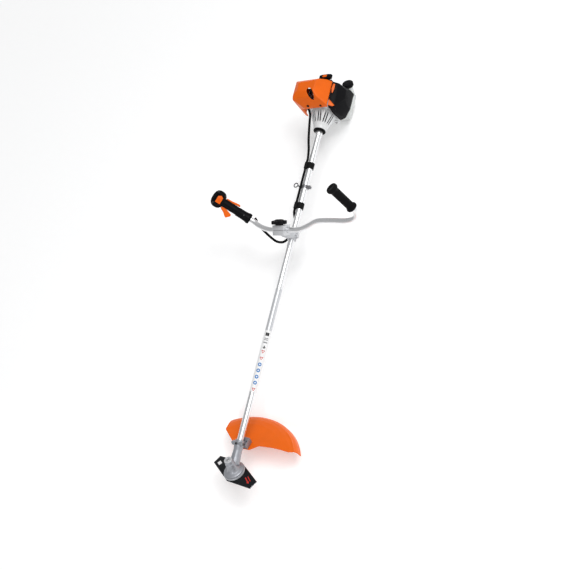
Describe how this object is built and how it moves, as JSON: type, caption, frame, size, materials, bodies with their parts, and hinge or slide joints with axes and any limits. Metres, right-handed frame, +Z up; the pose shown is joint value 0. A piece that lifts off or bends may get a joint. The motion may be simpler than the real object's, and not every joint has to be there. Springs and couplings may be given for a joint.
{
  "type": "brush mower",
  "caption": "Petrol brush mower: rear engine, long straight drive tube, bike handlebar with control grip, angle gear head, blade with two wings and an orange guard.",
  "frame": {"origin": "centre of the bounding box on the ground that the engine stand and the guard rim rest on", "axes": "+X along the drive tube towards the blade, +Y to the operator's left, +Z up"},
  "size_m": [1.7854, 0.6602, 0.4374],
  "materials": {
    "orange_plastic": "moulded, semi-gloss",
    "black_plastic": "fine grained moulding",
    "white_plastic": "moulded, satin",
    "tank_plastic": "translucent polyethylene",
    "cast_alloy": "as cast",
    "cast_grey": "die cast, powder coated grey",
    "alloy_tube": "drawn, satin anodised",
    "steel": "machined",
    "black_screw": "black oxide",
    "rubber": "matt",
    "bronze_bush": "sintered",
    "blade_steel": "blackened spring steel, bare ground edges",
    "foam": "open cell foam"
  },
  "bodies": {
    "machine": {"crankcase": "cast_alloy", "cylinder": "cast_alloy", "spark_plug": "white_plastic", "plug_boot": "rubber", "piston": "cast_alloy", "connecting_rod": "steel", "fan_housing": "white_plastic", "ignition_module": "black_plastic", "starter_housing": "black_plastic", "starter_rope": "rubber", "engine_shroud": "orange_plastic", "filter_cover": "black_plastic", "filter_element": "foam", "carburettor": "cast_alloy", "muffler": "steel", "cover_clip": "orange_plastic", "fuel_tank": "tank_plastic", "engine_stand": "black_plastic", "drive_tube": "alloy_tube", "shaft_collar": "rubber", "shaft_bush": "bronze_bush", "clutch_bearing": "steel", "carrying_ring": "steel", "clamp_cap": "cast_grey", "bar_bracket": "cast_grey", "throttle_cable_upper": "rubber", "gear_housing": "cast_grey", "gear_screw_top": "black_screw", "gear_screw_side": "black_screw", "input_bearing": "steel", "output_bearing": "steel", "guard": "orange_plastic", "guard_bracket": "cast_grey", "cable_strap_rear": "rubber", "cable_strap_front": "rubber"},
    "crank": {"crankshaft_front": "steel", "crankshaft_rear": "steel", "flywheel": "cast_alloy", "clutch_shoes": "steel"},
    "drive_line": {"clutch_drum": "steel", "drive_shaft": "steel", "drive_pinion": "steel"},
    "cutter": {"output_shaft": "steel", "crown_gear": "steel", "thrust_plate": "cast_grey", "rider_plate": "steel", "blade_nut": "steel", "blade": "blade_steel"},
    "rope_pulley": {"rope_pulley": "black_plastic"},
    "starter_grip": {"starter_grip": "black_plastic"},
    "choke_lever": {"choke_lever": "orange_plastic"},
    "fuel_cap": {"fuel_cap": "black_plastic"},
    "clamp_knob": {"clamp_knob": "black_plastic"},
    "handlebar": {"handlebar": "alloy_tube", "plain_grip": "rubber", "control_handle": "black_plastic", "throttle_cable_lower": "rubber"},
    "throttle_trigger": {"throttle_trigger": "orange_plastic"},
    "throttle_lockout": {"throttle_lockout": "orange_plastic"},
    "stop_switch": {"stop_switch": "orange_plastic"}
  },
  "joints": [
    {"name": "crank_spin", "type": "hinge", "parent": "machine", "child": "crank", "pos_m": [-0.75805, -0.0396, 0.148], "axis": [1, 0, 0], "continuous": true},
    {"name": "cutter_spin", "type": "hinge", "parent": "machine", "child": "cutter", "pos_m": [0.83795, -0.0396, 0.148], "axis": [-0.5, 0, 0.866], "continuous": true},
    {"name": "drive_spin", "type": "hinge", "parent": "machine", "child": "drive_line", "pos_m": [0.07595, -0.0396, 0.148], "axis": [1, 0, 0], "continuous": true},
    {"name": "starter_pull", "type": "slide", "parent": "machine", "child": "starter_grip", "axis": [0, 0, 1], "range_m": [0, 0.7], "stiffness_N_per_m": 20, "springref_m": -0.3},
    {"name": "pulley_turn", "type": "hinge", "parent": "machine", "child": "rope_pulley", "pos_m": [-0.81105, -0.0396, 0.148], "axis": [1, 0, 0], "range_deg": [0, 1340]},
    {"name": "choke_turn", "type": "hinge", "parent": "machine", "child": "choke_lever", "pos_m": [-0.78205, 0.0309, 0.2276], "axis": [0.0599, 0.5092, 0.8586], "range_deg": [0, 40]},
    {"name": "fuel_cap_turn", "type": "hinge", "parent": "machine", "child": "fuel_cap", "pos_m": [-0.8676, 0.022, 0.11467], "axis": [-0.3599, 0.1, 0.9276], "range_deg": [0, 270]},
    {"name": "clamp_knob_turn", "type": "hinge", "parent": "machine", "child": "clamp_knob", "pos_m": [-0.09805, -0.0396, 0.24532], "axis": [-0.866, 0, 0.5], "range_deg": [0, 720]},
    {"name": "handlebar_tilt", "type": "hinge", "parent": "machine", "child": "handlebar", "pos_m": [-0.10805, -0.0396, 0.228], "axis": [0, 1, 0], "range_deg": [-25, 25], "deforming": ["throttle_cable_lower"]},
    {"name": "trigger_squeeze", "type": "hinge", "parent": "handlebar", "child": "throttle_trigger", "pos_m": [-0.16343, -0.28916, 0.34206], "axis": [0.3174, 0.6696, 0.6715], "range_deg": [0, 18], "stiffness_Nm_per_rad": 0.3, "springref_deg": -17.19},
    {"name": "lockout_press", "type": "hinge", "parent": "handlebar", "child": "throttle_lockout", "pos_m": [-0.19279, -0.27221, 0.33904], "axis": [-0.3174, -0.6696, -0.6715], "range_deg": [0, 6], "stiffness_Nm_per_rad": 0.3, "springref_deg": -17.19},
    {"name": "stop_switch_slide", "type": "slide", "parent": "handlebar", "child": "stop_switch", "axis": [-0.2356, -0.6302, 0.7398], "range_m": [0, 0.007]}
  ],
  "couplings": [
    {"joint": "drive_spin", "follows": "cutter_spin", "ratio": 1.4},
    {"joint": "pulley_turn", "follows": "starter_pull", "rad_per_m": 33.333}
  ]
}
